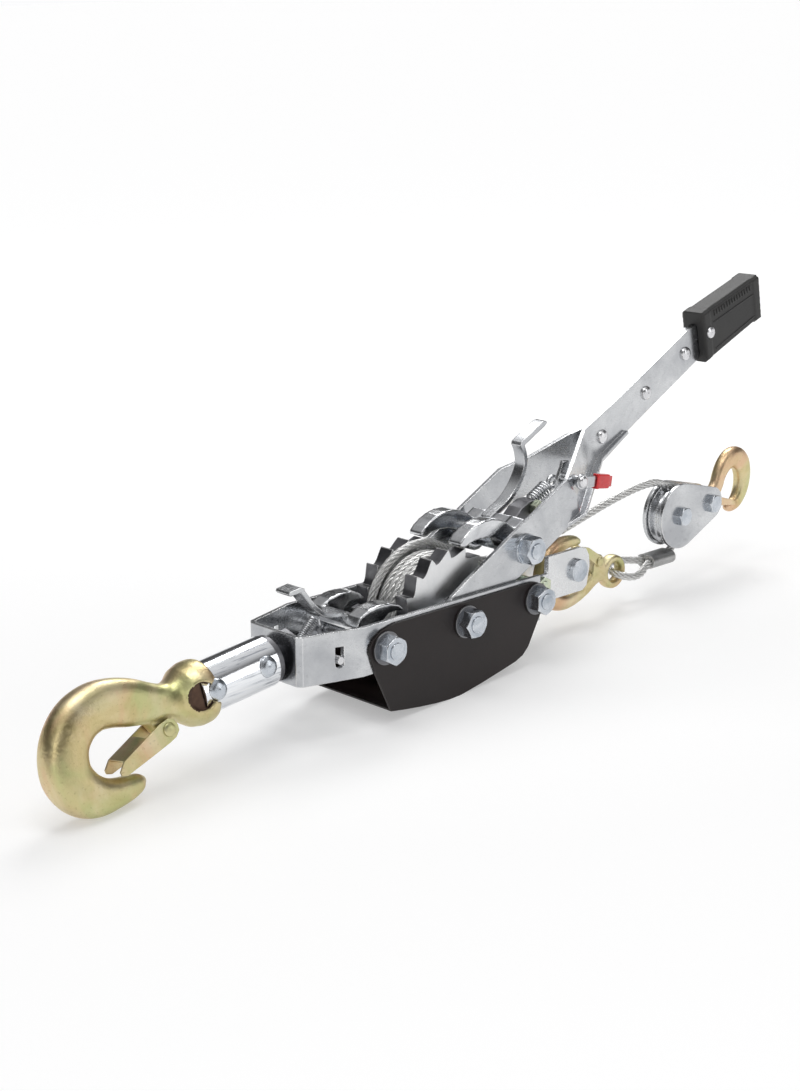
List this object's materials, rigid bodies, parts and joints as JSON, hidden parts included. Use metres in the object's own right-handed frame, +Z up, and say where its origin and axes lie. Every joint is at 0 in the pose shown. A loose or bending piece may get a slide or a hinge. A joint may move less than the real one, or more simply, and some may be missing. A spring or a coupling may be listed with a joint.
{
  "type": "come along winch",
  "caption": "Hand-operated cable puller: a ratchet drum in a strap frame with a pumping handle, a swivel hook, a fixed rear hook and a pulley block with its own hook",
  "frame": {"origin": "centre of the footprint of the whole winch as it lies on the floor, on its front hook and guard; z = 0 is the floor", "axes": "+X from the front hook towards the pulley block and grip, +Y towards the far side of the drum axle, +Z up"},
  "size_m": [0.7436, 0.1034, 0.2499],
  "materials": {
    "satin_zinc": "satin zinc plating",
    "blue_zinc": "blue-white zinc, semi bright",
    "rivet_steel": "satin",
    "black_paint": "satin black",
    "cast_teeth": "whitish zinc over a sand-blasted face",
    "drum_steel": "turned, satin",
    "rope_steel": "galvanised strand",
    "dark_steel": "dark, dull",
    "bronze": "satin",
    "spring_steel": "bright",
    "green_zinc": "yellow-green zinc",
    "white_zinc": "bright white zinc",
    "bright_sleeve": "polished",
    "gold_zinc": "iridescent yellow zinc on forged steel",
    "grip_rubber": "matte moulded",
    "red_vinyl": "glossy dipped vinyl"
  },
  "bodies": {
    "frame": {"frame_strap": "satin_zinc", "guard": "black_paint", "front_bolt": "blue_zinc", "axle_bolt": "blue_zinc", "rear_bolt": "blue_zinc", "frame_nuts": "blue_zinc", "frame_washers": "dark_steel", "front_spacer": "satin_zinc", "axle_bush": "bronze", "axle_spacers": "satin_zinc", "rear_spacer": "satin_zinc", "spring_anchor_pin": "rivet_steel", "holding_pawl_spring": "spring_steel", "anchor_bracket": "white_zinc", "anchor_pin": "blue_zinc", "anchor_bolt": "green_zinc", "rear_hook": "gold_zinc", "rear_latch_rivet": "gold_zinc", "wire_rope": "rope_steel", "rope_ferrule": "dark_steel"},
    "drum": {"drum_core": "drum_steel", "ratchet_near": "cast_teeth", "ratchet_far": "cast_teeth", "rope_winding": "rope_steel"},
    "handle": {"handle_half_near": "satin_zinc", "handle_half_far": "satin_zinc", "handle_rivets": "rivet_steel", "handle_grip": "grip_rubber", "grip_rivet": "rivet_steel", "pawl_bolt": "blue_zinc", "pawl_bolt_nut": "blue_zinc"},
    "drive_pawl": {"drive_pawl": "cast_teeth", "release_lever": "satin_zinc", "pawl_tail_block": "dark_steel", "pawl_tail_bolt": "green_zinc", "pawl_spring_rod": "spring_steel", "pawl_spring": "spring_steel"},
    "direction_lever": {"direction_lever": "satin_zinc", "direction_lever_cap": "red_vinyl", "direction_lever_screw": "rivet_steel", "direction_inner_arm": "satin_zinc"},
    "holding_pawl": {"holding_pawl": "cast_teeth", "holding_pawl_lever": "satin_zinc"},
    "hook": {"swivel_stem": "dark_steel", "nose_washer": "dark_steel", "swivel_sleeve": "bright_sleeve", "sleeve_rivets": "blue_zinc", "front_hook": "gold_zinc", "front_latch_pin": "gold_zinc", "front_latch_spring": "spring_steel"},
    "front_latch": {"front_latch": "gold_zinc"},
    "rear_latch": {"rear_hook_latch": "gold_zinc"},
    "pulley_block": {"block_cheek_near": "satin_zinc", "block_cheek_far": "satin_zinc", "sheave_bolt": "blue_zinc", "hook_bolt": "blue_zinc"},
    "sheave": {"sheave": "drum_steel"},
    "block_hook": {"block_hook": "gold_zinc"},
    "block_hook_latch": {"block_hook_latch": "gold_zinc"}
  },
  "joints": [
    {"name": "drum_spin", "type": "hinge", "parent": "frame", "child": "drum", "pos_m": [-0.0327, 0.00235, 0.05471], "axis": [0, 1, 0], "continuous": true},
    {"name": "handle_swing", "type": "hinge", "parent": "frame", "child": "handle", "pos_m": [-0.0327, 0.00235, 0.05471], "axis": [0, 1, 0], "range_deg": [-65, 6]},
    {"name": "drive_pawl_pivot", "type": "hinge", "parent": "handle", "child": "drive_pawl", "pos_m": [0.03852, 0.00235, 0.0913], "axis": [0, 1, 0], "range_deg": [0, 15]},
    {"name": "direction_lever_turn", "type": "hinge", "parent": "handle", "child": "direction_lever", "pos_m": [0.10054, -0.02765, 0.12993], "axis": [0, 1, 0], "range_deg": [-20, 20]},
    {"name": "holding_pawl_pivot", "type": "hinge", "parent": "frame", "child": "holding_pawl", "pos_m": [-0.11366, 0.00235, 0.05744], "axis": [0, 1, 0], "range_deg": [-8, 0]},
    {"name": "hook_swivel", "type": "hinge", "parent": "frame", "child": "hook", "pos_m": [-0.18563, 0.00235, 0.0594], "axis": [-0.9973, 0, -0.0736], "continuous": true},
    {"name": "front_latch_pivot", "type": "hinge", "parent": "hook", "child": "front_latch", "pos_m": [-0.28011, -0.00064, 0.03943], "axis": [-0.0166, -0.9744, 0.2243], "range_deg": [-22, 0], "stiffness_Nm_per_rad": 0.04, "springref_deg": 11.46},
    {"name": "rear_latch_pivot", "type": "hinge", "parent": "frame", "child": "rear_latch", "pos_m": [0.16144, 0.00235, 0.04456], "axis": [0, 1, 0], "range_deg": [-25, 0], "stiffness_Nm_per_rad": 0.01, "springref_deg": 11.46},
    {"name": "block_swing", "type": "hinge", "parent": "frame", "child": "pulley_block", "pos_m": [0.26032, -0.00065, 0.06142], "axis": [0, 1, 0], "range_deg": [-25, 25]},
    {"name": "sheave_spin", "type": "hinge", "parent": "pulley_block", "child": "sheave", "pos_m": [0.26032, -0.00065, 0.06142], "axis": [0, 1, 0], "continuous": true},
    {"name": "block_hook_pivot", "type": "hinge", "parent": "pulley_block", "child": "block_hook", "pos_m": [0.30216, -0.00065, 0.0634], "axis": [0, 1, 0], "range_deg": [-60, 60]},
    {"name": "block_hook_latch_pivot", "type": "hinge", "parent": "block_hook", "child": "block_hook_latch", "pos_m": [0.31547, -0.00065, 0.06128], "axis": [0, 1, 0], "range_deg": [-26, 0], "stiffness_Nm_per_rad": 0.01, "springref_deg": 11.46}
  ]
}
